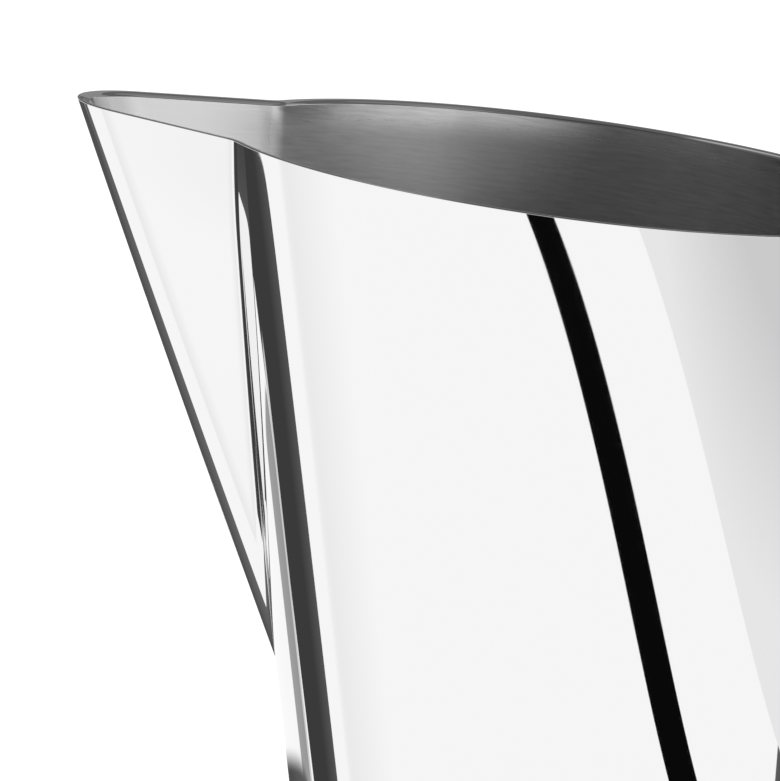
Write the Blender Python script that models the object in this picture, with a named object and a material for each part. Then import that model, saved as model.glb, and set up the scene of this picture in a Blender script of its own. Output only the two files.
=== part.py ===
# A small open creamer of polished steel sheet: a tapered wall with a slanted rim, a V spout
# welded into a notch in it, a flat bottom and a bent strap handle. The spout points along -X.

import math

import bmesh
import bpy

MM = 0.001

# Body wall: a plain taper, measured on its outside, with the rim cut on a slant that rises to the spout
BASE_RADIUS = 26.55 * MM
TAPER = 0.103
RIM_HEIGHT = 82.0 * MM
RIM_SLOPE = 0.133
WALL = 0.9 * MM

# Spout: it reaches out past the wall at the rim, its keel leans in going down and bows a little,
# and its section is a V with a round nose that opens a little over the last part below the tip
SPOUT_REACH = 13.83 * MM
KEEL_LEAN = 0.33
KEEL_BOW = 0.00025 / MM
NOSE_RADIUS = 9.24 * MM
SPOUT_HALF_ANGLE = math.radians(29.56)
FLARE_ANGLE = math.radians(2.42)
FLARE_DEPTH = 14.3 * MM
CREASE_RADIUS = 3.34 * MM
TOE_DROP = 2.5 * MM
TOE_CUT = 0.3 * MM

# Joints between pieces
GAP = 0.3 * MM
SEAM_WIDTH = 1.2 * MM

# Bottom
BASE_THICKNESS = 1.2 * MM
BASE_SEAM_LEG = 1.5 * MM

# Handle: a strap that leaves the wall level, turns down and comes back in. Its upper root is measured
# down from the rim at the back, and its lower root up from the bottom
STRAP_WIDTH = 12.0 * MM
STRAP_THICKNESS = 2.0 * MM
STRAP_EDGE = 0.5 * MM
UPPER_ROOT = 10.4 * MM
LOWER_ROOT = 24.0 * MM
UPPER_REACH = 24.0 * MM
LOWER_REACH = 22.0 * MM
UPPER_BEND = 9.0 * MM
LOWER_BEND = 13.0 * MM
HANDLE_SEAM_DEPTH = 1.5 * MM
HANDLE_SEAM_MARGIN = 1.2 * MM

# Facets, with rows that crowd towards the toe of the spout
TURN_STEPS = 128
SPOUT_COLUMNS = 30
SPOUT_ROWS = 26
SPOUT_CROWDING = 1.5
SEAM_ROWS = 22
SEAM_CROWDING = 2.0
BEND_STEPS = 14
EDGE_STEPS = 2
SHARP_ANGLE = math.radians(35)
EDGE_ANGLE = math.radians(50)

# Working values
CUT_MARGIN = 20.0 * MM
MERGE_DISTANCE = 0.001 * MM
SOLVER_STEPS = 60

# Finish
STEEL_COLOUR = (0.82, 0.82, 0.82, 1.0)
POLISHED = 0.08
SATIN = 0.2


def body_radius(height):
    return BASE_RADIUS + TAPER * height


def rim_height(x):
    return RIM_HEIGHT - RIM_SLOPE * x


def tip_reach():
    """The tip's distance from the axis, with its reach measured from the wall at the tip's own height."""
    return (body_radius(RIM_HEIGHT) + SPOUT_REACH) / (1 - TAPER * RIM_SLOPE)


def keel_reach(height):
    drop = rim_height(-tip_reach()) - height
    return tip_reach() - KEEL_LEAN * drop - KEEL_BOW * drop * drop


def keel_end():
    """The height at which the keel runs into the wall."""
    low, high = 0.0, RIM_HEIGHT
    for _ in range(SOLVER_STEPS):
        middle = (low + high) / 2
        if keel_reach(middle) > body_radius(middle):
            high = middle
        else:
            low = middle
    return high


def side_angle(height):
    """The V's half angle, which eases open over the flare's depth below the tip."""
    drop = rim_height(-tip_reach()) - height
    share = min(1.0, max(0.0, 1 - drop / FLARE_DEPTH))
    return SPOUT_HALF_ANGLE + FLARE_ANGLE * share * share * (3 - 2 * share)


class Section:
    """The outline of wall and spout at one height: nose arc, straight side, hollow fillet, circle."""

    def __init__(self, height, inset=0.0):
        self.circle = body_radius(height) - inset
        self.has_spout = keel_reach(height) > body_radius(height)
        if not self.has_spout:
            self.junction = 0.0
            return
        side = self.side = side_angle(height)
        radius = body_radius(height)
        self.nose_centre = keel_reach(height) - NOSE_RADIUS
        self.nose = NOSE_RADIUS - inset
        self.side_distance = self.nose_centre * math.sin(side) + self.nose
        self.fillet = CREASE_RADIUS + inset
        self.fillet_reach = radius + CREASE_RADIUS
        across = self.nose_centre * math.sin(side) + NOSE_RADIUS + CREASE_RADIUS
        self.junction = math.asin(min(1.0, across / self.fillet_reach)) - side
        end, touch = self.turns(side)
        if end > touch:
            near = NOSE_RADIUS + CREASE_RADIUS
            cosine = self.fillet_reach**2 + self.nose_centre**2 - near**2
            self.junction = math.acos(min(1.0, cosine / (2 * self.nose_centre * self.fillet_reach)))
            rise = self.fillet_reach * math.sin(self.junction)
            run = self.fillet_reach * math.cos(self.junction) - self.nose_centre
            end = touch = self.turns(math.atan2(run, rise))[0]
        self.nose_end, self.fillet_start = end, touch

    def turns(self, facing):
        """Where the nose arc ends and the fillet starts, as angles about the axis."""
        along, across = math.sin(facing), math.cos(facing)
        end = math.atan2(self.nose * across, self.nose_centre + self.nose * along)
        x = self.fillet_reach * math.cos(self.junction) - self.fillet * along
        y = self.fillet_reach * math.sin(self.junction) - self.fillet * across
        return end, math.atan2(y, x)

    def radius(self, angle):
        angle = abs(angle)
        if not self.has_spout or angle >= self.junction:
            return self.circle
        if angle <= self.nose_end:
            lateral = self.nose_centre * math.sin(angle)
            return self.nose_centre * math.cos(angle) + math.sqrt(self.nose**2 - lateral**2)
        if angle < self.fillet_start:
            return self.side_distance / math.sin(angle + self.side)
        lateral = self.fillet_reach * math.sin(self.junction - angle)
        return self.fillet_reach * math.cos(self.junction - angle) - math.sqrt(self.fillet**2 - lateral**2)


def spout_half_angle(height):
    """The sheet reaches a little past the crease, by as much as the crease moves in the toe's drop."""
    return Section(height + TOE_DROP).junction


def skin_point(share, height, inset):
    """A point of the spout's sheet, with share running from -1 to 1 across it."""
    angle = share * spout_half_angle(height)
    radius = Section(height, inset).radius(angle)
    return (-radius * math.cos(angle), radius * math.sin(angle), height)


def wall_point(angle, height, inset):
    radius = body_radius(height) - inset
    return (-radius * math.cos(angle), radius * math.sin(angle), height)


def height_at_rim(point_at):
    """The height at which a line of points, given as a function of height, reaches the slanted rim."""
    height = RIM_HEIGHT
    for _ in range(SOLVER_STEPS):
        height = rim_height(point_at(height)[0])
    return height


def clear_scene():
    for item in list(bpy.data.objects):
        bpy.data.objects.remove(item, do_unlink=True)


def steel(name, roughness):
    material = bpy.data.materials.new(name)
    material.use_nodes = True
    shader = material.node_tree.nodes["Principled BSDF"]
    shader.inputs["Base Color"].default_value = STEEL_COLOUR
    shader.inputs["Metallic"].default_value = 1.0
    shader.inputs["Roughness"].default_value = roughness
    return material


def add_object(name, mesh, roughness):
    piece = bpy.data.objects.new(name, mesh)
    bpy.context.collection.objects.link(piece)
    mesh.materials.append(steel(name + "_steel", roughness))
    return piece


def mesh_from(name, points, faces):
    mesh = bpy.data.meshes.new(name)
    mesh.from_pydata(points, [], faces)
    shape = bmesh.new()
    shape.from_mesh(mesh)
    bmesh.ops.recalc_face_normals(shape, faces=shape.faces)
    shape.to_mesh(mesh)
    shape.free()
    mesh.shade_smooth()
    mesh.set_sharp_from_angle(angle=SHARP_ANGLE)
    return mesh


def sheet(name, outer, inner):
    """A closed thick sheet between two grids of points of the same rows and columns."""
    rows, columns = len(outer), len(outer[0])
    points = [point for grid in (outer, inner) for row in grid for point in row]
    layer = rows * columns
    faces = []
    for row in range(rows - 1):
        for column in range(columns - 1):
            a = row * columns + column
            quad = (a, a + 1, a + columns + 1, a + columns)
            faces.append(quad)
            faces.append(tuple(layer + corner for corner in reversed(quad)))
    bottom = list(range(columns))
    top = [(rows - 1) * columns + column for column in bottom]
    left = [row * columns for row in range(rows)]
    right = [corner + columns - 1 for corner in left]
    for edge in (bottom, top, left, right):
        for a, b in zip(edge, edge[1:]):
            faces.append((a, b, layer + b, layer + a))
    return add_object(name, mesh_from(name, points, faces), POLISHED)


def turned(name, profile, roughness=POLISHED):
    """A ring or disc from a closed profile of (radius, height) points that starts down its outer side."""
    mesh = bpy.data.meshes.new(name)
    points = [(radius, 0.0, height) for radius, height in profile]
    edges = [(i, (i + 1) % len(points)) for i in range(len(points))]
    if min(radius for radius, _ in profile) < MERGE_DISTANCE:
        edges.pop()
    mesh.from_pydata(points, edges, [])
    piece = add_object(name, mesh, roughness)
    spin = piece.modifiers.new("turn", "SCREW")
    spin.steps = spin.render_steps = TURN_STEPS
    spin.use_merge_vertices = True
    spin.merge_threshold = MERGE_DISTANCE
    spin.use_smooth_shade = True
    return piece


def cut(piece, cutter):
    cutter.hide_render = True
    cutter.display_type = "WIRE"
    boolean = piece.modifiers.new("cut_" + cutter.name, "BOOLEAN")
    boolean.operation = "DIFFERENCE"
    boolean.solver = "EXACT"
    boolean.object = cutter


def rounded(piece, width):
    bevel = piece.modifiers.new("edges", "BEVEL")
    bevel.width = width
    bevel.segments = EDGE_STEPS
    bevel.limit_method = "ANGLE"
    bevel.angle_limit = EDGE_ANGLE


def block(name, low, high):
    corners = [(x, y, z) for x in (low[0], high[0]) for y in (low[1], high[1]) for z in (low[2], high[2])]
    faces = [(0, 1, 3, 2), (4, 6, 7, 5), (0, 4, 5, 1), (2, 3, 7, 6), (0, 2, 6, 4), (1, 5, 7, 3)]
    return add_object(name, mesh_from(name, corners, faces), POLISHED)


def toe_height():
    return keel_end() - TOE_DROP + TOE_CUT


def spout_edge():
    """The spout's edge on the unrolled wall, as (arc length, height), down its left and up its right."""
    toe = toe_height()
    top = height_at_rim(lambda height: wall_point(spout_half_angle(height), height, 0.0))
    heights = [toe + (top - toe) * (i / SEAM_ROWS) ** SEAM_CROWDING for i in range(SEAM_ROWS, -1, -1)]
    left = [(spout_half_angle(height) * body_radius(height), height) for height in heights]
    return left + [(-arc, height) for arc, height in reversed(left)]


def edge_at(distance):
    """The spout's edge moved outwards on the wall by a distance, as (angle, height)."""
    edge = spout_edge()
    moved = []
    for i, (arc, height) in enumerate(edge):
        before, after = edge[max(i - 1, 0)], edge[min(i + 1, len(edge) - 1)]
        run, climb = after[0] - before[0], after[1] - before[1]
        length = math.hypot(run, climb)
        level = height + distance * run / length
        moved.append(((arc - distance * climb / length) / body_radius(level), level))
    return moved


def make_spout():
    toe = toe_height()

    def grid(inset):
        tops = []
        for column in range(-SPOUT_COLUMNS, SPOUT_COLUMNS + 1):
            share = column / SPOUT_COLUMNS
            tops.append((share, height_at_rim(lambda height: skin_point(share, height, inset))))
        rows = []
        for row in range(SPOUT_ROWS + 1):
            climb = (row / SPOUT_ROWS) ** SPOUT_CROWDING
            rows.append([skin_point(share, toe + (top - toe) * climb, inset) for share, top in tops])
        return rows

    return sheet("spout", grid(0.0), grid(WALL))


def make_spout_seam():
    edges = list(zip(edge_at(GAP), edge_at(GAP + SEAM_WIDTH)))
    last = len(edges) - 1

    def grid(inset):
        rows = []
        for i, pair in enumerate(edges):
            row = []
            for angle, height in pair:
                if i in (0, last):
                    height = height_at_rim(lambda level: wall_point(angle, level, inset))
                row.append(wall_point(angle, height, inset))
            rows.append(row)
        return rows

    return sheet("spout_seam", grid(0.0), grid(WALL))


def make_body_wall():
    top = rim_height(-body_radius(RIM_HEIGHT)) + CUT_MARGIN
    profile = [
        (body_radius(top), top),
        (body_radius(0.0), 0.0),
        (body_radius(0.0) - WALL, 0.0),
        (body_radius(top) - WALL, top),
    ]
    wall = turned("body_wall", profile)
    cut(wall, make_rim_cutter())
    cut(wall, make_notch_cutter())
    return wall


def make_rim_cutter():
    """Everything above the slanted plane of the rim."""
    half = tip_reach() + CUT_MARGIN
    top = rim_height(-half) + 2 * CUT_MARGIN
    lower = [[(x, y, rim_height(x)) for y in (-half, half)] for x in (-half, half)]
    upper = [[(x, y, top) for y in (-half, half)] for x in (-half, half)]
    return sheet("rim_cutter", upper, lower)


def make_notch_cutter():
    """The notch in the wall, wider than the spout by its seam and a gap on either side of the seam."""
    edge = edge_at(GAP + SEAM_WIDTH + GAP)
    half = edge[: len(edge) // 2]
    above = (half[0][0], half[0][1] + CUT_MARGIN)

    def grid(inset):
        rows = []
        for angle, height in [above] + half:
            rows.append([wall_point(side * angle, height, inset) for side in (-1, 1)])
        return rows

    return sheet("notch_cutter", grid(-CUT_MARGIN), grid(CUT_MARGIN / 2))


def make_base_disc():
    def edge(height):
        return body_radius(height) - WALL - GAP

    profile = [
        (0.0, BASE_THICKNESS),
        (edge(BASE_THICKNESS), BASE_THICKNESS),
        (edge(0.0), 0.0),
        (0.0, 0.0),
    ]
    return turned("base_disc", profile, SATIN)


def make_base_seam():
    low = BASE_THICKNESS + GAP
    high = low + BASE_SEAM_LEG
    foot = body_radius(low) - WALL - GAP
    head = body_radius(high) - WALL - GAP
    return turned("base_seam", [(head, high), (foot, low), (foot - BASE_SEAM_LEG, low)], SATIN)


def upper_root():
    return height_at_rim(lambda height: wall_point(math.pi, height, 0.0)) - UPPER_ROOT


def strap_start(root):
    return body_radius(root) + GAP + HANDLE_SEAM_DEPTH + GAP


def strap_line(offset):
    """The strap's line in the XZ plane, moved by an offset towards its outside, with its bends as arcs."""
    upper = upper_root()
    corners = [
        (strap_start(upper), upper),
        (body_radius(upper) + UPPER_REACH, upper),
        (body_radius(LOWER_ROOT) + LOWER_REACH, LOWER_ROOT),
        (strap_start(LOWER_ROOT), LOWER_ROOT),
    ]
    slant = math.atan2(corners[1][0] - corners[2][0], upper - LOWER_ROOT)
    line = [(corners[0][0], corners[0][1] + offset)]
    bends = (
        (corners[1], UPPER_BEND, math.pi / 2, -slant, -1),
        (corners[2], LOWER_BEND, -slant, -math.pi / 2, 1),
    )
    for corner, bend, start, finish, end in bends:
        set_back = bend * math.tan((start - finish) / 2)
        x = corner[0] - set_back
        z = corner[1] + end * bend
        for i in range(BEND_STEPS + 1):
            angle = start + (finish - start) * i / BEND_STEPS
            reach = bend + offset
            line.append((x + reach * math.cos(angle), z + reach * math.sin(angle)))
    line.append((corners[3][0], corners[3][1] - offset))
    return line


def make_handle():
    half = STRAP_WIDTH / 2

    def grid(offset):
        return [[(x, y, z) for y in (-half, half)] for x, z in strap_line(offset)]

    strap = sheet("handle", grid(STRAP_THICKNESS / 2), grid(-STRAP_THICKNESS / 2))
    rounded(strap, STRAP_EDGE)
    return strap


def make_handle_seam(name, root, wall_clearance):
    tall = STRAP_THICKNESS / 2 + HANDLE_SEAM_MARGIN
    wide = STRAP_WIDTH / 2 + HANDLE_SEAM_MARGIN
    low = (body_radius(root) - 2 * WALL, -wide, root - tall)
    high = (strap_start(root) - GAP, wide, root + tall)
    seam = block(name, low, high)
    rounded(seam, STRAP_EDGE)
    cut(seam, wall_clearance)
    return seam


def make_wall_clearance():
    """The solid of the wall and a gap round it, which trims the handle's welds."""
    profile = [
        (0.0, RIM_HEIGHT),
        (body_radius(RIM_HEIGHT) + GAP, RIM_HEIGHT),
        (body_radius(0.0) + GAP, 0.0),
        (0.0, 0.0),
    ]
    return turned("wall_clearance", profile)


def main():
    clear_scene()
    make_body_wall()
    make_spout()
    make_spout_seam()
    make_base_disc()
    make_base_seam()
    make_handle()
    clearance = make_wall_clearance()
    make_handle_seam("handle_seam_upper", upper_root(), clearance)
    make_handle_seam("handle_seam_lower", LOWER_ROOT, clearance)


main()
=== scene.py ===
# Looks of a small steel creamer: mirror polish outside, brushed inside, in a white studio
import math

import bpy
import numpy as np
from mathutils import Matrix


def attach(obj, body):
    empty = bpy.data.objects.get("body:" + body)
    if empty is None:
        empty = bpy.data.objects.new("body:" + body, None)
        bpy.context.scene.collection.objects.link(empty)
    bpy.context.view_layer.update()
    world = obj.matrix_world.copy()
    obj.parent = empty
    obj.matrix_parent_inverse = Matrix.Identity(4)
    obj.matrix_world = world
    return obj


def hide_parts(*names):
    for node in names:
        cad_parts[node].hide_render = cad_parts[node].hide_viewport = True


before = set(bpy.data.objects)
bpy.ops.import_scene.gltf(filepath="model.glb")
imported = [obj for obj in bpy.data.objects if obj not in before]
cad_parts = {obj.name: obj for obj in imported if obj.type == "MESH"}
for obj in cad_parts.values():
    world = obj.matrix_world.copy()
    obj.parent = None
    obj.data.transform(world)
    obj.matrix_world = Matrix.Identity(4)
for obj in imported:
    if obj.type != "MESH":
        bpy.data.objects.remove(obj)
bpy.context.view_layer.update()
mm = 0.001
fullTurn = 2 * math.pi
print("frame loaded:", ", ".join(sorted(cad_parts)))


# Skin of wall and spout, in millimetres

wall = {
    "baseRadius": 26.55,  # outside, at the bottom
    "taper": 0.103,  # growth of the radius per height
    "rimHeight": 82.0,  # on the axis
    "rimSlope": 0.133,  # the rim climbs towards the spout
    "thickness": 0.9,
    "rimOutside": (0.2, 0.15),  # breadth and drop of the rim's rounding, from its top line outwards
    "rimInside": (0.7, 0.47),  # and inwards
    "rimRows": 24,
    "footRound": 0.25,  # height of the rounded lower edge
    "footRows": 8,
    "rowsBelowToe": 14,
    "columns": 280,
}
spout = {
    "reach": 13.83,  # out from the wall, at the rim
    "keelLean": 0.33,
    "keelBow": 0.00025,  # per millimetre
    "noseRadius": 9.24,
    "halfAngle": math.radians(29.56),  # of the V in plan
    "flareAngle": math.radians(2.42),  # added to it at the tip
    "flareDepth": 14.3,
    "creaseRadius": 3.34,
    "toeDrop": 2.5,  # how far the sheet runs on below its crease
    "toeCut": 0.3,
    "rows": 130,
    "rowPower": 1.5,  # rows lie closer together at the toe
    "columns": 260,
    "crowding": ((-1, -0.45, 0.45, 1), (-1, -0.7, 0.7, 1)),  # columns lie closer together in the crease
}
weld = {  # between the two, ground flush and polished
    "gap": 0.3,
    "width": 1.2,
    "rowsAtToe": 8,
    "rowPower": 1.4,
    "columns": 6,
}
search = {
    "settleSteps": 40,
    "keelSteps": 200001,
    "seamSteps": 600,
    "seamPower": 2,
    "seamStart": 0.001,  # the seam's lowest point lies this far below its first step
    "difference": 1e-4,  # half the step of a central difference
    "leastAngle": 0.01,
}
tipReach = (wall["baseRadius"] + wall["taper"] * wall["rimHeight"] + spout["reach"]) / (
    1 - wall["taper"] * wall["rimSlope"]
)
tipHeight = wall["rimHeight"] + wall["rimSlope"] * tipReach


def wallRadius(height):  # a straight taper: the base radius plus a share of the height
    return wall["baseRadius"] + wall["taper"] * height


def innerRadius(height):  # the wall's radius less its thickness
    return wallRadius(height) - wall["thickness"]


def keelReach(height):  # a line that leans in below the tip, less a small share of the drop squared
    drop = tipHeight - height
    return tipReach - spout["keelLean"] * drop - spout["keelBow"] * drop * drop


def sideAngle(height):  # the V's half angle, eased open by a cubic step over the flare's depth
    share = np.clip(1 - (tipHeight - height) / spout["flareDepth"], 0, 1)
    return spout["halfAngle"] + spout["flareAngle"] * share**2 * (3 - 2 * share)


def outline(height, inset):
    # At one height the spout is a nose arc, a straight side and a hollow fillet that touches the wall's
    # circle. Low down the side has no length, and the fillet touches the nose arc instead.
    side = sideAngle(height)
    nose, fillet = spout["noseRadius"], spout["creaseRadius"]
    centre = keelReach(height) - nose
    far = wallRadius(height) + fillet  # from the axis to the fillet's centre
    lean = np.arcsin(np.clip((centre * np.sin(side) + nose + fillet) / far, -1, 1)) - side
    endOfNose = np.arctan2(nose * np.cos(side), centre + nose * np.sin(side))
    startOfFillet = np.arctan2(
        far * np.sin(lean) - fillet * np.cos(side), far * np.cos(lean) - fillet * np.sin(side)
    )
    noSide = endOfNose > startOfFillet
    touch = np.arccos(np.clip((far**2 + centre**2 - (nose + fillet) ** 2) / (2 * centre * far), -1, 1))
    crease = np.where(noSide, touch, lean)
    facing = np.where(noSide, np.arctan2(far * np.cos(crease) - centre, far * np.sin(crease)), side)
    noseIn, filletIn = nose - inset, fillet + inset
    endOfNose = np.arctan2(noseIn * np.cos(facing), centre + noseIn * np.sin(facing))
    startOfFillet = np.arctan2(
        far * np.sin(crease) - filletIn * np.cos(facing), far * np.cos(crease) - filletIn * np.sin(facing)
    )
    hasSpout = keelReach(height) > wallRadius(height)
    return {
        "centre": centre,
        "far": far,
        "nose": noseIn,
        "fillet": filletIn,
        "endOfNose": endOfNose,
        "startOfFillet": startOfFillet,
        "noSide": noSide,
        "crease": np.where(hasSpout, crease, 0.0),
    }


def skinRadius(angle, height, inset):
    # Distance from the axis in a direction: to the nose arc, the side line, the fillet or the wall's circle
    turn = np.abs((angle + math.pi) % fullTurn - math.pi)
    side = sideAngle(height)
    shape = outline(height, inset)
    centre, nose = shape["centre"], shape["nose"]
    far, fillet = shape["far"], shape["fillet"]
    back = shape["crease"] - turn
    onNose = centre * np.cos(turn) + np.sqrt(np.maximum(nose**2 - (centre * np.sin(turn)) ** 2, 0))
    onSide = (centre * np.sin(side) + nose) / np.sin(np.maximum(turn + side, search["leastAngle"]))
    onFillet = far * np.cos(back) - np.sqrt(np.maximum(fillet**2 - (far * np.sin(back)) ** 2, 0))
    beyondNose = np.where((turn < shape["startOfFillet"]) & ~shape["noSide"], onSide, onFillet)
    onSpout = np.where(turn <= shape["endOfNose"], onNose, beyondNose)
    return np.where(turn < shape["crease"], onSpout, wallRadius(height) - inset)


def skinPoint(angle, height, inset):  # the radius carried round the axis, from the keel at -X
    radius = skinRadius(angle, height, inset)
    return np.stack([-radius * np.cos(angle), radius * np.sin(angle), height + 0 * radius], -1)


def unit(vectors):  # each vector over its length
    return vectors / np.linalg.norm(vectors, axis=-1, keepdims=True)


def skinNormal(angle, height, inset):  # up the skin crossed with round the skin, by central differences
    step = search["difference"]
    up = skinPoint(angle, height + step, inset) - skinPoint(angle, height - step, inset)
    around = skinPoint(angle + step, height, inset) - skinPoint(angle - step, height, inset)
    return unit(np.cross(up, around))


def settleHeight(angleAt, inset, below):
    # The height at which a line of the skin meets the rim's slanted plane, lowered by a distance: the height
    # is put into the plane's equation again and again until it settles
    height = wall["rimHeight"] + 0 * (inset + below)
    for _ in range(search["settleSteps"]):
        angle = angleAt(height)
        forward = skinRadius(angle, height, inset) * np.cos(angle)
        height = wall["rimHeight"] - below + wall["rimSlope"] * forward
    return height


def crown(turn):
    # Across the rim, two quarters of an ellipse that meet on its top line: how deep from the outside, and
    # how far below the rim's plane
    outwards = turn < math.pi / 2
    breadth = np.where(outwards, wall["rimOutside"][0], wall["rimInside"][0])
    drop = np.where(outwards, wall["rimOutside"][1], wall["rimInside"][1])
    return wall["rimOutside"][0] - breadth * np.cos(turn), drop * (1 - np.sin(turn))


def rimPoint(angle, turn):  # the skin's point as deep and as low as the crown is at a turn
    inset, below = crown(turn)
    return skinPoint(angle, settleHeight(lambda height: angle, inset, below), inset)


def rimNormal(angle, turn):  # over the rim crossed with along the rim
    step = search["difference"]
    over = rimPoint(angle, turn + step) - rimPoint(angle, turn - step)
    along = rimPoint(angle + step, turn) - rimPoint(angle - step, turn)
    return unit(np.cross(over, along))


# Edges between the pieces of the skin

keelLevels = np.linspace(0.0, wall["rimHeight"], search["keelSteps"])
keelEnd = keelLevels[np.argmax(keelReach(keelLevels) > wallRadius(keelLevels))]
toeLevel = keelEnd - spout["toeDrop"] + spout["toeCut"]


def seamEdge(offset):
    # The spout's edge, the crease shifted down the wall, moved square to itself by an offset on the unrolled
    # wall. It comes back as a function that gives the edge's angle at a height, and as its lowest height.
    climb = np.linspace(0, 1, search["seamSteps"]) ** search["seamPower"]
    height = toeLevel + (tipHeight - toeLevel) * climb
    arc = outline(height + spout["toeDrop"], 0.0)["crease"] * wallRadius(height)
    run, rise = np.gradient(arc), np.gradient(height)
    length = np.hypot(run, rise)
    movedArc = np.concatenate([[0.0], arc + offset * rise / length])
    movedHeight = height - offset * run / length
    movedHeight = np.concatenate([[movedHeight[0] - search["seamStart"]], movedHeight])

    def edgeAngle(level):  # the moved arc at a height over the wall's radius
        return np.interp(level, movedHeight, movedArc, left=0.0) / wallRadius(level)

    return edgeAngle, movedHeight[0]


spoutEdge, spoutToe = seamEdge(weld["gap"] / 2)
wallEdge, wallToe = seamEdge(1.5 * weld["gap"] + weld["width"])
spoutClimb = np.linspace(0, 1, spout["rows"] + 1) ** spout["rowPower"]
weldClimb = np.linspace(0, 1, spout["rows"] + weld["rowsAtToe"] + 1) ** weld["rowPower"]
print("skin laid out")


# Meshes from grids

grid = {"decimals": 5, "sharpAngle": math.radians(40), "grainSpan": 100}


def weldPoints(points, faces):  # coincident points become one, and quads that lose a corner become triangles
    whole = np.round(points * 10 ** grid["decimals"]).astype(np.int64)
    _, first, index = np.unique(whole, axis=0, return_index=True, return_inverse=True)
    faces = index.reshape(-1)[faces]
    same = faces == np.roll(faces, -1, axis=1)
    lost = same.sum(1)
    quads = faces[lost == 0]
    short = faces[lost == 1]
    at = same[lost == 1].argmax(1)
    triangles = short[np.arange(len(short))[:, None], (at[:, None] + np.arange(1, 4)) % 4]
    return first, quads, triangles, np.nonzero(lost == 0)[0], np.nonzero(lost == 1)[0]


def makeMesh(name, points, faces, uvs, finish, normals=None):
    # Points are in millimetres, uvs has a pair for each corner of each quad, and finish is each quad's slot
    first, quads, triangles, wasQuad, wasTriangle = weldPoints(points, faces)
    mesh = bpy.data.meshes.new(name)
    places = np.round(points[first], grid["decimals"]) * mm
    mesh.from_pydata(places.tolist(), [], quads.tolist() + triangles.tolist())
    mesh.polygons.foreach_set("use_smooth", np.ones(len(mesh.polygons), bool))
    slots = np.concatenate([finish[wasQuad], finish[wasTriangle]])
    mesh.polygons.foreach_set("material_index", slots.astype(np.int32))
    layer = mesh.uv_layers.new(name="grain")
    corners = np.concatenate([uvs[wasQuad].reshape(-1, 2), uvs[wasTriangle][:, :3].reshape(-1, 2)])
    layer.data.foreach_set("uv", corners.astype(np.float32).ravel())
    mesh.update()
    if normals is None:
        mesh.set_sharp_from_angle(angle=grid["sharpAngle"])
    else:
        mesh.normals_split_custom_set_from_vertices(normals[first].tolist())
    return mesh


def addPiece(name, mesh, materials, node):  # one visual piece that stands for one CAD node
    piece = bpy.data.objects.new(name, mesh)
    bpy.context.scene.collection.objects.link(piece)
    for material in materials:
        mesh.materials.append(material)
    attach(piece, "root")
    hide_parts(node)
    print(name, len(mesh.polygons), "faces")


def gridFaces(rows, columns, closedRows):
    # Quads of a grid, row by row, with the last row joined to the first if the rows are closed
    row = np.arange(rows if closedRows else rows - 1)[:, None]
    column = np.arange(columns - 1)[None, :]
    here, after = row * columns + column, (row + 1) % rows * columns + column
    return np.stack([here, after, after + 1, here + 1], -1).reshape(-1, 4)


def gridMesh(name, points, closedRows):  # a grid of points as one mesh in one finish
    rows, columns = points.shape[:2]
    faces = gridFaces(rows, columns, closedRows)
    row, column = np.mgrid[0:rows, 0:columns]
    grain = np.stack([column / columns, row / rows], -1).reshape(-1, 2)
    return makeMesh(name, points.reshape(-1, 3), faces, grain[faces], np.zeros(len(faces), int))


def shellStrip(share, angleAt, heightAt, footRows=0):
    # A strip of thick sheet: outside from its foot up to the rim, over the rounded rim, and down the inside.
    # share numbers the columns, angleAt gives their angle at a height, and heightAt their rows up to a top.
    share = share[None, :]
    thick = wall["thickness"]

    def lineAt(height):  # the angle of every column at a height
        return angleAt(share, height)

    turn = np.linspace(0, math.pi, wall["rimRows"] + 2)[1:-1, None]
    inset, below = crown(turn)
    outer = heightAt(share, settleHeight(lineAt, 0.0, wall["rimOutside"][1]))
    over = settleHeight(lineAt, inset + 0 * share, below + 0 * share)
    inner = heightAt(share, settleHeight(lineAt, thick, wall["rimInside"][1]))[::-1]
    heights = [outer, over, inner]
    points = [
        skinPoint(lineAt(outer), outer, 0.0),
        skinPoint(lineAt(over), over, inset),
        skinPoint(lineAt(inner), inner, thick),
    ]
    normals = [
        skinNormal(lineAt(outer), outer, 0.0),
        rimNormal(lineAt(over), turn + 0 * share),
        -skinNormal(lineAt(inner), inner, thick),
    ]
    if footRows:  # the rounded lower edge, from the inside back to the outside
        turn = np.linspace(math.pi, 0, footRows + 2)[1:-1, None]
        inset = thick / 2 * (1 - np.cos(turn)) + 0 * share
        level = wall["footRound"] * (1 - np.sin(turn)) + 0 * share
        outward = skinNormal(lineAt(level), level, inset)
        up = np.array([0, 0, 1.0])
        heights.append(level)
        points.append(skinPoint(lineAt(level), level, inset))
        normals.append(unit(outward * np.cos(turn)[..., None] - up * np.sin(turn)[..., None]))
    angles = np.concatenate([lineAt(height) for height in heights])
    grain = np.stack([angles * wall["baseRadius"], np.concatenate(heights)], -1)
    rows, columns = angles.shape
    finish = np.zeros((rows, columns - 1), int)
    firstInside = len(outer) + wall["rimRows"] - 1
    finish[firstInside : firstInside + len(inner)] = 1  # brushed
    return {
        "points": np.concatenate(points).reshape(-1, 3),
        "normals": np.concatenate(normals).reshape(-1, 3),
        "faces": gridFaces(rows, columns, True),
        "finish": finish.reshape(-1),
        "grain": grain.reshape(-1, 2),
        "rows": len(outer),
        "columns": columns,
    }


def endCap(strip, column, fromRow, turnedOver):
    # A ladder of quads from the outside to the inside at one end of a strip
    last = 2 * strip["rows"] + wall["rimRows"] - 1
    row = np.arange(fromRow, strip["rows"] + wall["rimRows"] // 2 - 1)
    quads = np.stack([row, last - row, last - row - 1, row + 1], -1) * strip["columns"] + column
    return quads[:, ::-1] if turnedOver else quads


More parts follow.
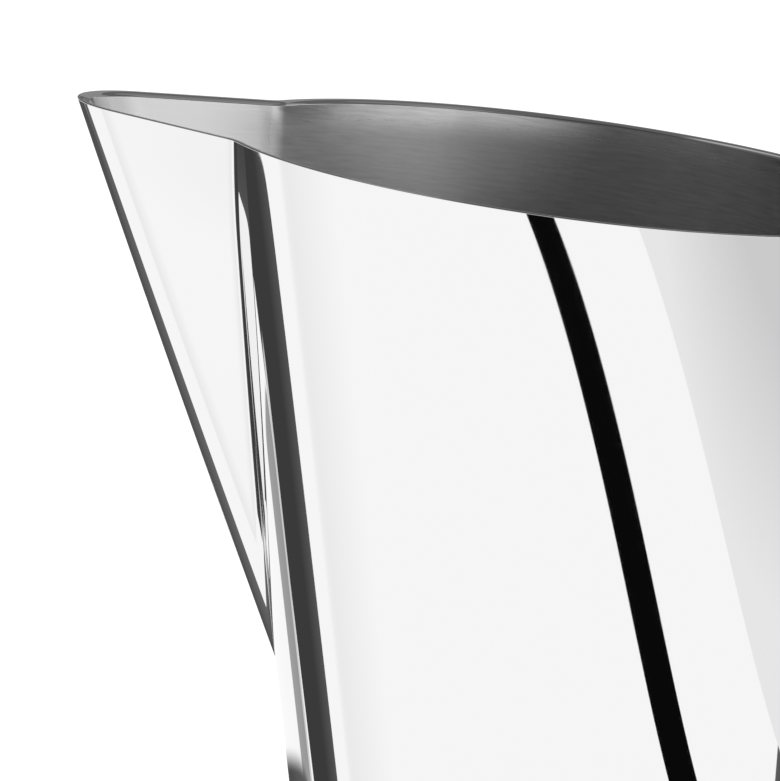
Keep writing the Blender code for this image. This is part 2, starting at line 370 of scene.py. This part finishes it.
def joinStrips(name, strips, caps):
    # Strips and their caps as one mesh. The grain's run is unwrapped about the keel in each quad.
    points, normals, faces, finish, grain = [], [], [], [], []
    start = 0
    for strip, ends in zip(strips, caps):
        faces.append(strip["faces"] + start)
        finish.append(strip["finish"])
        for cap in ends:
            faces.append(cap + start)
            finish.append(np.zeros(len(cap), int))
        points.append(strip["points"])
        normals.append(strip["normals"])
        grain.append(strip["grain"])
        start += len(strip["points"])
    points, normals, faces, finish, grain = map(np.concatenate, (points, normals, faces, finish, grain))
    uvs = grain[faces]
    span = fullTurn * wall["baseRadius"]
    uvs[..., 0] -= np.where(uvs[..., 0].mean(1) > span / 2, span, 0.0)[:, None]
    return makeMesh(name, points, faces, uvs / grid["grainSpan"], finish, normals)


# Finishes, where a haze is a range of roughness and a bump a strength and a height in metres

polish = {
    "tone": (0.915, 0.915, 0.915, 1),
    "haze": (0.01, 0.026),
    "strapTone": (0.88, 0.88, 0.88, 1),
    "strapHaze": (0.06, 0.12),
    "scale": 180.0,
    "detail": 4.0,
}
brush = {
    "tone": (0.4, 0.72),
    "haze": (0.32, 0.48),
    "bump": (0.12, 0.0001),
    "anisotropy": 0.6,
    "quarterTurn": 0.25,
    "slant": math.radians(-11),
    "stretch": (1 / 9, 1 / 70, 1.0),
    "scale": 4.0,
    "detail": 6.0,
    "spoutX": -33.5,  # the finish changes between these
    "wallX": -30.6,
    "spoutShare": 0.4,
    "rimDepth": (0.3, 4.0),  # buffed with the rim, and dull again below
    "rimShare": 0.45,
}
rings = {"tone": (0.48, 0.68), "haze": (0.24, 0.4), "bump": (0.15, 0.0001), "scale": 3000.0, "detail": 3.0}
mottle = {
    "tone": (0.62, 0.61, 0.6, 1),
    "haze": (0.22, 0.45),
    "bump": (0.2, 0.0001),
    "scale": 1400.0,
    "detail": 3.0,
}


def feed(tree, socket, value):  # a number is set on the socket, anything else is linked to it
    if isinstance(value, (int, float)):
        socket.default_value = value
    else:
        tree.links.new(value, socket)


def calc(tree, operation, *values):  # one step of arithmetic
    node = tree.nodes.new("ShaderNodeMath")
    node.operation = operation
    for socket, value in zip(node.inputs, values):
        feed(tree, socket, value)
    return node.outputs["Value"]


def fade(tree, value, start, end, first, last, kind="LINEAR"):
    # From the first level at the start to the last level at the end, straight or eased, and level beyond
    node = tree.nodes.new("ShaderNodeMapRange")
    node.interpolation_type = kind
    for socket, number in zip(node.inputs[1:5], (start, end, first, last)):
        socket.default_value = number
    tree.links.new(value, node.inputs["Value"])
    return node.outputs["Result"]


def choose(tree, share, first, second):  # the first value plus a share of the way to the second
    node = tree.nodes.new("ShaderNodeMix")
    for socket, value in zip(node.inputs[:1] + node.inputs[2:4], (share, first, second)):
        feed(tree, socket, value)
    return node.outputs["Result"]


def objectPlace(tree):  # where a point lies on its object
    return tree.nodes.new("ShaderNodeTexCoord").outputs["Object"]


def splitAxes(tree, vector):  # a vector's X, Y and Z
    node = tree.nodes.new("ShaderNodeSeparateXYZ")
    tree.links.new(vector, node.inputs["Vector"])
    return node.outputs["X"], node.outputs["Y"], node.outputs["Z"]


def noise(tree, place, look, dimensions="3D"):  # smooth noise about one half
    node = tree.nodes.new("ShaderNodeTexNoise")
    node.noise_dimensions = dimensions
    node.inputs["Scale"].default_value = look["scale"]
    node.inputs["Detail"].default_value = look["detail"]
    tree.links.new(place, node.inputs["W" if dimensions == "1D" else "Vector"])
    return node.outputs["Fac"]


def newMetal(name):
    material = bpy.data.materials.new(name)
    material.use_nodes = True
    shader = material.node_tree.nodes["Principled BSDF"]
    shader.inputs["Metallic"].default_value = 1.0
    return material, material.node_tree, shader


def raiseMarks(tree, shader, marks, strength, distance):
    bump = tree.nodes.new("ShaderNodeBump")
    bump.inputs["Strength"].default_value = strength
    bump.inputs["Distance"].default_value = distance
    tree.links.new(marks, bump.inputs["Height"])
    tree.links.new(bump.outputs["Normal"], shader.inputs["Normal"])


def polishedSteel(name, tone, haze):  # buffed, with a faint haze that comes and goes
    material, tree, shader = newMetal(name)
    shader.inputs["Base Color"].default_value = tone
    cloud = noise(tree, objectPlace(tree), polish)
    tree.links.new(fade(tree, cloud, 0.0, 1.0, *haze), shader.inputs["Roughness"])
    return material


def brushedSteel(name):
    # Fine scratches that run round the inside at a slight slant. They are weaker in the spout, by the square
    # of its share, and the roughness is less there and along the rim.
    material, tree, shader = newMetal(name)
    shader.inputs["Anisotropic"].default_value = brush["anisotropy"]
    shader.inputs["Anisotropic Rotation"].default_value = brush["quarterTurn"]
    grain = tree.nodes.new("ShaderNodeUVMap")
    grain.uv_map = "grain"
    slant = tree.nodes.new("ShaderNodeMapping")
    slant.vector_type = "TEXTURE"
    slant.inputs["Rotation"].default_value = (0, 0, brush["slant"])
    slant.inputs["Scale"].default_value = brush["stretch"]
    tree.links.new(grain.outputs["UV"], slant.inputs["Vector"])
    scratches = noise(tree, slant.outputs["Vector"], brush)
    tangent = tree.nodes.new("ShaderNodeTangent")
    tangent.direction_type = "UV_MAP"
    tangent.uv_map = "grain"
    tree.links.new(tangent.outputs["Tangent"], shader.inputs["Tangent"])
    x, _, z = splitAxes(tree, objectPlace(tree))
    ends = (mm * brush["spoutX"], mm * brush["wallX"])
    share = fade(tree, x, *ends, brush["spoutShare"], 1.0, "SMOOTHSTEP")
    rim = calc(tree, "MULTIPLY_ADD", x, -wall["rimSlope"], mm * wall["rimHeight"])
    ends = (mm * depth for depth in brush["rimDepth"])
    buffed = fade(tree, calc(tree, "SUBTRACT", rim, z), *ends, brush["rimShare"], 1.0, "SMOOTHSTEP")
    strength = calc(tree, "MULTIPLY", share, share)
    marks = calc(tree, "MULTIPLY_ADD", calc(tree, "SUBTRACT", scratches, 0.5), strength, 0.5)
    tree.links.new(fade(tree, marks, 0.0, 1.0, *brush["tone"]), shader.inputs["Base Color"])
    rough = fade(tree, marks, 0.0, 1.0, *brush["haze"])
    rough = calc(tree, "MULTIPLY", rough, calc(tree, "MINIMUM", share, buffed))
    tree.links.new(rough, shader.inputs["Roughness"])
    raiseMarks(tree, shader, marks, *brush["bump"])
    return material


def turnedSteel(name):  # rings left by turning: noise along the distance from the axis
    material, tree, shader = newMetal(name)
    flat = tree.nodes.new("ShaderNodeVectorMath")
    flat.operation = "MULTIPLY"
    flat.inputs[1].default_value = (1, 1, 0)
    tree.links.new(objectPlace(tree), flat.inputs[0])
    reach = tree.nodes.new("ShaderNodeVectorMath")
    reach.operation = "LENGTH"
    tree.links.new(flat.outputs["Vector"], reach.inputs[0])
    marks = noise(tree, reach.outputs["Value"], rings, "1D")
    tree.links.new(fade(tree, marks, 0.0, 1.0, *rings["tone"]), shader.inputs["Base Color"])
    tree.links.new(fade(tree, marks, 0.0, 1.0, *rings["haze"]), shader.inputs["Roughness"])
    raiseMarks(tree, shader, marks, *rings["bump"])
    return material


def weldSteel(name):  # a bead that has been wire-brushed: mottled and a little uneven
    material, tree, shader = newMetal(name)
    shader.inputs["Base Color"].default_value = mottle["tone"]
    marks = noise(tree, objectPlace(tree), mottle)
    tree.links.new(fade(tree, marks, 0.0, 1.0, *mottle["haze"]), shader.inputs["Roughness"])
    raiseMarks(tree, shader, marks, *mottle["bump"])
    return material


mirror = polishedSteel("polished_steel", polish["tone"], polish["haze"])
strapSteel = polishedSteel("strap_steel", polish["strapTone"], polish["strapHaze"])
inside = brushedSteel("brushed_steel")
turned = turnedSteel("turned_steel")
beadSteel = weldSteel("bead_steel")
print("finishes made")


# Wall, spout and the weld between them, one continuous skin

def wallAngle(share, height):  # from one edge of the notch round the back to the other
    return wallEdge(height) + share * (fullTurn - 2 * wallEdge(height))


def wallRows(share, top):  # even rows up to the notch, then the weld's rows
    below = np.linspace(wall["footRound"], wallToe, wall["rowsBelowToe"] + 1)[:-1, None] + 0 * share
    return np.concatenate([below, wallToe + (top - wallToe) * weldClimb[:, None]])


def spoutRows(share, top):  # the climb's shares of the way from the toe to the top
    return spoutToe + (top - spoutToe) * spoutClimb[:, None]


def weldAngle(hand, share, height):  # from the spout's edge to the wall's, on one hand
    return hand * (spoutEdge(height) + np.abs(share) * (wallEdge(height) - spoutEdge(height)))


def weldRows(share, top):  # from the spout's rows, with a few more at the toe, to the wall's rows
    alongWall = wallToe + (top - wallToe) * weldClimb[:, None]
    toe = np.linspace(wallToe, spoutToe, weld["rowsAtToe"] + 1)[:-1, None] + 0 * share
    alongSpout = np.concatenate([toe, spoutRows(share, top)])
    return alongSpout + (alongWall - alongSpout) * np.abs(share)


wallStrip = shellStrip(np.linspace(0, 1, wall["columns"] + 1), wallAngle, wallRows, wall["footRows"])
wallCaps = [
    endCap(wallStrip, 0, wall["rowsBelowToe"], False),
    endCap(wallStrip, wall["columns"], wall["rowsBelowToe"], True),
]
wallMesh = joinStrips("body_shell", [wallStrip], [wallCaps])
addPiece("body_shell", wallMesh, [mirror, inside], "body_wall")

spoutStrip = shellStrip(
    np.interp(np.linspace(-1, 1, spout["columns"] + 1), *spout["crowding"]),
    lambda share, height: share * spoutEdge(height),
    spoutRows,
)
spoutCaps = [endCap(spoutStrip, 0, 0, False), endCap(spoutStrip, spout["columns"], 0, True)]
spoutMesh = joinStrips("pouring_spout", [spoutStrip], [spoutCaps])
addPiece("pouring_spout", spoutMesh, [mirror, inside], "spout")

weldStrips, weldCaps = [], []
for hand in (-1, 1):
    across = np.linspace(0, 1, weld["columns"] + 1)
    across = across if hand > 0 else -across[::-1]
    weldStrip = shellStrip(across, lambda share, height: weldAngle(hand, share, height), weldRows)
    atSpout, atWall = (0, weld["columns"]) if hand > 0 else (weld["columns"], 0)
    weldStrips.append(weldStrip)
    weldCaps.append(
        [
            endCap(weldStrip, atSpout, weld["rowsAtToe"], hand < 0),
            endCap(weldStrip, atWall, 0, hand > 0),
        ]
    )
weldMesh = joinStrips("spout_weld", weldStrips, weldCaps)
addPiece("spout_weld", weldMesh, [mirror, inside], "spout_seam")


# Bottom disc and the bead round it

base = {"thickness": 1.2, "edgeRound": 0.12, "edgeSteps": 6, "fit": 0.05, "columns": 240, "rows": 14}
bead = {
    "leg": 1.5,
    "hollow": 0.25,
    "ripple": 0.04,
    "ripples": 170,
    "archShare": 0.7,  # of the arch, out and up, as it stands square to the slope
    "columns": 850,
    "rows": 14,
}


def carriedRound(radius, height, angle):  # profile points carried round the axis
    return np.stack([radius * np.cos(angle), radius * np.sin(angle), height + 0 * angle], -1)


rounding = base["edgeRound"]
corner = np.linspace(0, math.pi / 2, base["edgeSteps"])
topEdge = innerRadius(base["thickness"]) - base["fit"]
lowEdge = innerRadius(0.0) - base["fit"]
across = np.linspace(0, 1, base["rows"])
discRadius = np.concatenate(
    [
        across * (topEdge - rounding),
        topEdge - rounding + rounding * np.sin(corner),
        lowEdge - rounding + rounding * np.cos(corner),
        across[::-1] * (lowEdge - rounding),
    ]
)
discHeight = np.concatenate(
    [
        0 * across + base["thickness"],
        base["thickness"] - rounding + rounding * np.cos(corner),
        rounding - rounding * np.sin(corner),
        0 * across,
    ]
)
discAngle = np.linspace(0, fullTurn, base["columns"] + 1)[None, :]
discMesh = gridMesh("bottom_disc", carriedRound(discRadius[:, None], discHeight[:, None], discAngle), False)
addPiece("bottom_disc", discMesh, [turned], "base_disc")

# The bead's face is a straight slope from disc to wall, hollowed by an arch and rippled along the run
along = np.linspace(0, 1, bead["rows"])[:, None]
beadAngle = np.linspace(0, fullTurn, bead["columns"] + 1)[None, :]
lowBead = base["thickness"] + base["fit"]
highBead = lowBead + bead["leg"]
footRadius = innerRadius(lowBead) - base["fit"]
headRadius = innerRadius(highBead) - base["fit"]
arch = np.sin(math.pi * along) * (bead["ripple"] * np.cos(bead["ripples"] * beadAngle) - bead["hollow"])
arch *= bead["archShare"]
beadRadius = footRadius - bead["leg"] + along * (headRadius - footRadius + bead["leg"]) - arch
beadHeight = lowBead + along * bead["leg"] + arch
beadRadius = np.concatenate([beadRadius, footRadius + 0 * beadAngle])
beadHeight = np.concatenate([beadHeight, lowBead + 0 * beadAngle])
beadMesh = gridMesh("bottom_weld", carriedRound(beadRadius, beadHeight, beadAngle), True)
addPiece("bottom_weld", beadMesh, [beadSteel], "base_seam")


# Handle and its welds

handle = {
    "width": 12.0,
    "thickness": 2.0,
    "edgeRound": 0.85,
    "upperRoot": 10.4,  # below the rim at the back
    "lowerRoot": 24.0,
    "upperReach": 23.99,  # out from the wall, at the root's height
    "lowerReach": 22.0,
    "upperBend": 9.0,
    "lowerBend": 13.0,
    "standOff": 2.1,  # between the wall and the strap's ends
    "cornerSteps": 8,
    "levelSteps": 8,
    "upperSteps": 28,
    "straightSteps": 14,
    "lowerSteps": 34,
}
collar = {"spread": 1.1, "spreadPower": 2.2, "edgeRound": 0.7, "fit": 0.03, "rows": 12}
backRim = (wall["rimHeight"] - wall["rimSlope"] * wall["baseRadius"]) / (1 + wall["rimSlope"] * wall["taper"])
upperRoot, lowerRoot = backRim - handle["upperRoot"], handle["lowerRoot"]


def roundedBox(halfWidth, halfThickness, rounding):
    # A box with a quarter circle at each corner, run clockwise and closed: distances across the strap and
    # square to it
    steps = handle["cornerSteps"]
    turn = np.tile(np.linspace(0, math.pi / 2, steps), 4) + np.repeat(np.arange(4) * math.pi / 2, steps)
    across = np.repeat([1, -1, -1, 1], steps) * (halfWidth - rounding) + rounding * np.cos(turn)
    square = np.repeat([1, 1, -1, -1], steps) * (halfThickness - rounding) + rounding * np.sin(turn)
    closed = np.append(np.arange(4 * steps), 0)[::-1]
    return across[..., closed], square[..., closed]


def strapLine():
    # Level out of the wall, round the upper bend, down a straight, round the lower bend and level back in.
    # Each station is its X, its Z and the way its outside faces.
    upperX = wallRadius(upperRoot) + handle["upperReach"]
    lowerX = wallRadius(lowerRoot) + handle["lowerReach"]
    slant = math.atan2(upperX - lowerX, upperRoot - lowerRoot)
    upper, lower = handle["upperBend"], handle["lowerBend"]
    upperX -= upper * math.tan((math.pi / 2 + slant) / 2)
    lowerX -= lower * math.tan((math.pi / 2 - slant) / 2)
    upperWay = np.linspace(math.pi / 2, -slant, handle["upperSteps"])
    lowerWay = np.linspace(-slant, -math.pi / 2, handle["lowerSteps"])
    upperBend = upperX + upper * np.cos(upperWay), upperRoot - upper + upper * np.sin(upperWay)
    lowerBend = lowerX + lower * np.cos(lowerWay), lowerRoot + lower + lower * np.sin(lowerWay)
    out = np.linspace(0, 1, handle["levelSteps"])[:-1]
    down = np.linspace(0, 1, handle["straightSteps"])[1:-1]
    back = np.linspace(0, 1, handle["levelSteps"])[1:]
    start = wallRadius(upperRoot) + handle["standOff"]
    finish = wallRadius(lowerRoot) + handle["standOff"]
    x = [
        start + out * (upperX - start),
        upperBend[0],
        upperBend[0][-1] + down * (lowerBend[0][0] - upperBend[0][-1]),
        lowerBend[0],
        lowerX + back * (finish - lowerX),
    ]
    z = [
        0 * out + upperRoot,
        upperBend[1],
        upperBend[1][-1] + down * (lowerBend[1][0] - upperBend[1][-1]),
        lowerBend[1],
        0 * back + lowerRoot,
    ]
    way = [0 * out + math.pi / 2, upperWay, 0 * down - slant, lowerWay, 0 * back - math.pi / 2]
    return np.concatenate(x), np.concatenate(z), np.concatenate(way)


def strapGrid():  # the box's section at each station, and a point that closes each end
    x, z, way = (np.concatenate([run[:1], run, run[-1:]])[:, None] for run in strapLine())
    across, square = roundedBox(handle["width"] / 2, handle["thickness"] / 2, handle["edgeRound"])
    size = np.ones_like(x)
    size[[0, -1]] = 0.0
    square = size * square
    return np.stack([x + square * np.cos(way), size * across, z + square * np.sin(way)], -1)


def collarGrid(root):
    # A hollow flare: the strap's section grows by a power of the way to the wall, and lies on the wall
    out = np.linspace(0, 1, collar["rows"])[:, None]
    grow = collar["spread"] * (1 - out) ** collar["spreadPower"]
    across, square = roundedBox(
        handle["width"] / 2 + grow,
        handle["thickness"] / 2 + grow,
        handle["edgeRound"] + collar["edgeRound"] * grow,
    )
    height = root + square
    onWall = np.sqrt(wallRadius(height) ** 2 - across**2) + collar["fit"]
    end = wallRadius(root) + handle["standOff"] - collar["fit"]
    points = np.stack([onWall + out * (end - onWall), across, height], -1)
    wallPoint = np.array([wallRadius(root) + collar["fit"], 0.0, root]) + 0 * points[:1]
    endPoint = np.array([end, 0.0, root]) + 0 * points[:1]
    return np.concatenate([wallPoint, points, endPoint])


addPiece("strap_handle", gridMesh("strap_handle", strapGrid(), False), [strapSteel], "handle")
for name, root, node in (
    ("upper_collar", upperRoot, "handle_seam_upper"),
    ("lower_collar", lowerRoot, "handle_seam_lower"),
):
    addPiece(name, gridMesh(name, collarGrid(root), False), [beadSteel], node)


# Studio: a white table and tent, with boards and sheets that only the metal sees

studio = {
    "tableSize": 6.0,
    "tableTone": (0.8, 0.8, 0.8, 1),
    "tableGlow": 0.5,  # to the camera, over its lit tone
    "plainLevel": 0.8,  # of the tent, for light on the table
    "below": 1.0,  # brightness under the horizon
    "above": 0.12,
    "horizon": (-4.0, 5.0),
    "headings": (330.0, -30.0),  # where they wrap
    "boardPower": 6,  # how square a board's corners are
}
# Boards by heading in degrees from the back towards the left, and by rise over the horizon. A slant moves a
# board's heading with the rise, a tilt its rise with the heading. A pair of levels runs across the heading
# between two fade marks. Later boards hang in front of earlier ones.
boards = [
    # Light beside the crease, then the crease's own dark, its grey band and the band's light edge
    {
        "heading": (57.5, 82.0),
        "rise": (-40, -5),
        "edge": 1.6,
        "slant": 1.2,
        "fade": (61, 80),
        "level": (0.9, 1),
    },
    {
        "heading": (31.0, 48.0),
        "rise": (-11.6, -4.8),
        "power": 12,
        "edge": 0.05,
        "slant": 1.3,
        "tilt": 0.13,
        "fade": (41.5, 47.7),
        "level": (0.046, 0.092),
    },
    {
        "heading": (33.5, 40.8),
        "rise": (-19.0, -13.7),
        "edge": 0.3,
        "slant": 0.6,
        "fade": (33, 41),
        "level": (0.38, 0.33),
    },
    {"heading": (40.8, 42.2), "rise": (-19.0, -13.5), "edge": 0.8, "slant": 0.6, "level": 0.65},
    # Wide dark for the keel and for the wall beside the crease
    {
        "heading": (-15, 58.0),
        "rise": (-60, -12.4),
        "power": 9,
        "edge": 0.1,
        "tilt": 0.103,
        "fade": (25, 58),
        "level": (0.078, 0.14),
    },
    # Two dark ones beyond the handle
    {"heading": (300, 320), "rise": (-60, -4), "edge": 0.3, "fade": (300, 320), "level": (0.05, 0.09)},
    {"heading": (272, 280), "rise": (-60, -4), "edge": 0.5, "fade": (272, 280), "level": (0.12, 0.05)},
    # Dim and light ones for the inside of the wall
    {"heading": (276, 315), "rise": (-6, 7), "power": 2, "edge": 1.5, "level": 0.2},
    {
        "heading": (182, 270),
        "rise": (-12, 9),
        "power": 2,
        "edge": 1.5,
        "fade": (215, 255),
        "level": (1.06, 0.88),
    },
    # Sky for the rim on all sides
    {"heading": (-60, 12), "rise": (8, 33), "edge": 0.6, "level": 0.26},
    {"heading": (300, 360), "rise": (8, 31), "edge": 0.6, "level": 0.26},
    {"heading": (28, 125), "rise": (58, 77), "edge": 1.0, "level": 0.42},
    {"heading": (140, 215), "rise": (40, 95), "edge": 1.0, "level": 0.05},
    {"heading": (258, 345), "rise": (44, 66), "edge": 1.0, "level": 0.19},
    {"heading": (225, 262), "rise": (33, 54), "edge": 1.0, "level": 0.25},
    # Light for the inside of the spout and of its tip
    {"heading": (227, 335), "rise": (9.0, 16.0), "edge": 0.4, "fade": (250, 330), "level": (1.55, 0.7)},
    {
        "heading": (292, 345),
        "rise": (66, 72),
        "edge": 0.6,
        "tilt": 0.19,
        "fade": (295, 330),
        "level": (0.95, 0.45),
    },
]
# On the table, in millimetres. An arc is its centre, its radius and the run of its angle in degrees.
blackStrip = {
    "left": ((-129.6, -97.4), 182.08, (-80, 27)),
    "right": ((-106.7, -114.0), 176.98, (-72, 38)),
    "steps": 60,
    "level": 0.003,
}
greySheet = {
    "left": ((-61.8, -134.4), 194.8, (-58, 50)),
    "farX": 330.0,
    "steps": 60,
    "fade": (133.0, 225.0),  # along X
    "level": (0.863, 0.646),
}
backSheet = {
    "outline": [
        (-60, 180),
        (-20, 200),
        (20, 450),
        (-150, 540),
        (-340, 430),
        (-256, 206),
        (-238, 198),
        (-200, 203),
        (-160, 195),
    ],
    "level": 0.085,
}


def hangBoard(tree, seen, heading, rise, board):
    # Heading and rise from the board's middle, in half widths, each to a power, summed: under 1 is the board
    across = calc(tree, "MULTIPLY_ADD", rise, board.get("slant", 0.0), heading)
    upward = calc(tree, "MULTIPLY_ADD", heading, board.get("tilt", 0.0), rise)
    powers = []
    for value, (start, end) in ((across, board["heading"]), (upward, board["rise"])):
        offset = calc(tree, "MULTIPLY_ADD", value, 2 / (end - start), -(end + start) / (end - start))
        power = board.get("power", studio["boardPower"])
        powers.append(calc(tree, "POWER", calc(tree, "ABSOLUTE", offset), power))
    edges = (1 - board["edge"] / 2, 1 + board["edge"] / 2)
    mask = fade(tree, calc(tree, "ADD", *powers), *edges, 1.0, 0.0, "SMOOTHSTEP")
    level = fade(tree, across, *board["fade"], *board["level"]) if "fade" in board else board["level"]
    return choose(tree, mask, seen, level)


def makeTent():  # white to the camera, one level for the table's light, and the boards for the metal
    world = bpy.data.worlds.new("tent")
    bpy.context.scene.world = world
    world.use_nodes = True
    tree = world.node_tree
    way = tree.nodes.new("ShaderNodeTexCoord")
    x, y, z = splitAxes(tree, way.outputs["Generated"])
    heading = calc(tree, "DEGREES", calc(tree, "ARCTAN2", calc(tree, "MULTIPLY", x, -1.0), y))
    heading = calc(tree, "WRAP", heading, *studio["headings"])
    rise = calc(tree, "DEGREES", calc(tree, "ARCSINE", z))
    seen = fade(tree, rise, *studio["horizon"], studio["below"], studio["above"], "SMOOTHSTEP")
    for board in boards:
        seen = hangBoard(tree, seen, heading, rise, board)
    path = tree.nodes.new("ShaderNodeLightPath")
    level = choose(tree, path.outputs["Is Glossy Ray"], studio["plainLevel"], seen)
    level = choose(tree, path.outputs["Is Camera Ray"], level, 1.0)
    tree.links.new(level, tree.nodes["Background"].inputs["Color"])


def stageSheet(name, points, faces, material):  # a flat sheet on the table's level
    mesh = bpy.data.meshes.new(name)
    mesh.from_pydata([(mm * x, mm * y, 0.0) for x, y in points], [], faces)
    sheet = bpy.data.objects.new(name, mesh)
    bpy.context.scene.collection.objects.link(sheet)
    mesh.materials.append(material)
    return sheet


def onlyForMetal(sheet):
    sheet.visible_camera = False
    sheet.visible_diffuse = False
    sheet.visible_transmission = False
    sheet.visible_volume_scatter = False
    sheet.visible_shadow = False


def newSheetMaterial(name):
    material = bpy.data.materials.new(name)
    material.use_nodes = True
    material.node_tree.nodes.clear()
    return material, material.node_tree


def tableMaterial():  # lit as a pale table, so it keeps the shadow, with a glow that makes it white
    material, tree = newSheetMaterial("table_white")
    lit = tree.nodes.new("ShaderNodeBsdfDiffuse")
    lit.inputs["Color"].default_value = studio["tableTone"]
    glow = tree.nodes.new("ShaderNodeEmission")
    path = tree.nodes.new("ShaderNodeLightPath")
    both = tree.nodes.new("ShaderNodeAddShader")
    out = tree.nodes.new("ShaderNodeOutputMaterial")
    strength = calc(tree, "MULTIPLY", path.outputs["Is Camera Ray"], studio["tableGlow"])
    tree.links.new(strength, glow.inputs["Strength"])
    tree.links.new(lit.outputs["BSDF"], both.inputs[0])
    tree.links.new(glow.outputs["Emission"], both.inputs[1])
    tree.links.new(both.outputs["Shader"], out.inputs["Surface"])
    return material


def sheetMaterial(name, level, marks=None):  # one level, or a run of levels along X between two marks
    material, tree = newSheetMaterial(name)
    glow = tree.nodes.new("ShaderNodeEmission")
    out = tree.nodes.new("ShaderNodeOutputMaterial")
    tree.links.new(glow.outputs["Emission"], out.inputs["Surface"])
    if marks is None:
        glow.inputs["Color"].default_value = (level, level, level, 1)
    else:
        x, _, _ = splitAxes(tree, objectPlace(tree))
        run = fade(tree, x, mm * marks[0], mm * marks[1], *level)
        tree.links.new(run, glow.inputs["Color"])
    return material


def arcPoints(line, steps):  # the centre plus the radius turned through even angles
    (x, y), radius, (start, end) = line
    angle = np.radians(np.linspace(start, end, steps))
    return np.stack([x + radius * np.cos(angle), y + radius * np.sin(angle)], -1)


def ladder(left, right):  # quads between two lines of points
    count = len(left)
    step = np.arange(count - 1)
    rungs = np.stack([step, step + count, step + count + 1, step + 1], -1)
    return np.concatenate([left, right]).tolist(), rungs.tolist()


makeTent()
half = studio["tableSize"] / 2 / mm
tableCorners = [(-half, -half), (half, -half), (half, half), (-half, half)]
table = stageSheet("floor", tableCorners, [(0, 1, 2, 3)], tableMaterial())
table.visible_glossy = False  # the metal sees the tent and its boards

stripLeft = arcPoints(blackStrip["left"], blackStrip["steps"])
stripRight = arcPoints(blackStrip["right"], blackStrip["steps"])
stripTone = sheetMaterial("strip_black", blackStrip["level"])
onlyForMetal(stageSheet("black_strip", *ladder(stripLeft, stripRight), stripTone))

greyLeft = arcPoints(greySheet["left"], greySheet["steps"])
greyRight = np.stack([0 * greyLeft[:, 0] + greySheet["farX"], greyLeft[:, 1]], -1)
greyTone = sheetMaterial("sheet_grey", greySheet["level"], greySheet["fade"])
onlyForMetal(stageSheet("grey_sheet", *ladder(greyLeft, greyRight), greyTone))

backTone = sheetMaterial("sheet_dark", backSheet["level"])
backFace = tuple(range(len(backSheet["outline"])))
onlyForMetal(stageSheet("back_sheet", backSheet["outline"], [backFace], backTone))
print("studio set")


# Camera at the photograph's viewing angle

view = {
    "place": (47.906, -592.793, 161.383),
    "heading": math.radians(-6.391),  # from +Y towards +X
    "pitch": math.radians(-9.719),
    "roll": math.radians(-0.224),
    "lens": 280.62,
    "sensor": 36.0,
    "clip": (0.01, 20.0),
}
camera = bpy.data.cameras.new("camera")
camera.lens = view["lens"]
camera.sensor_width = view["sensor"]
camera.clip_start, camera.clip_end = view["clip"]
cameraObject = bpy.data.objects.new("camera", camera)
bpy.context.scene.collection.objects.link(cameraObject)
stand = Matrix.Translation([mm * x for x in view["place"]])
turn = Matrix.Rotation(-view["heading"], 4, "Z")
tip = Matrix.Rotation(math.pi / 2 + view["pitch"], 4, "X")
roll = Matrix.Rotation(view["roll"], 4, "Z")
cameraObject.matrix_world = stand @ turn @ tip @ roll
bpy.context.scene.camera = cameraObject
bpy.context.scene.view_settings.view_transform = "Standard"
print("camera set")
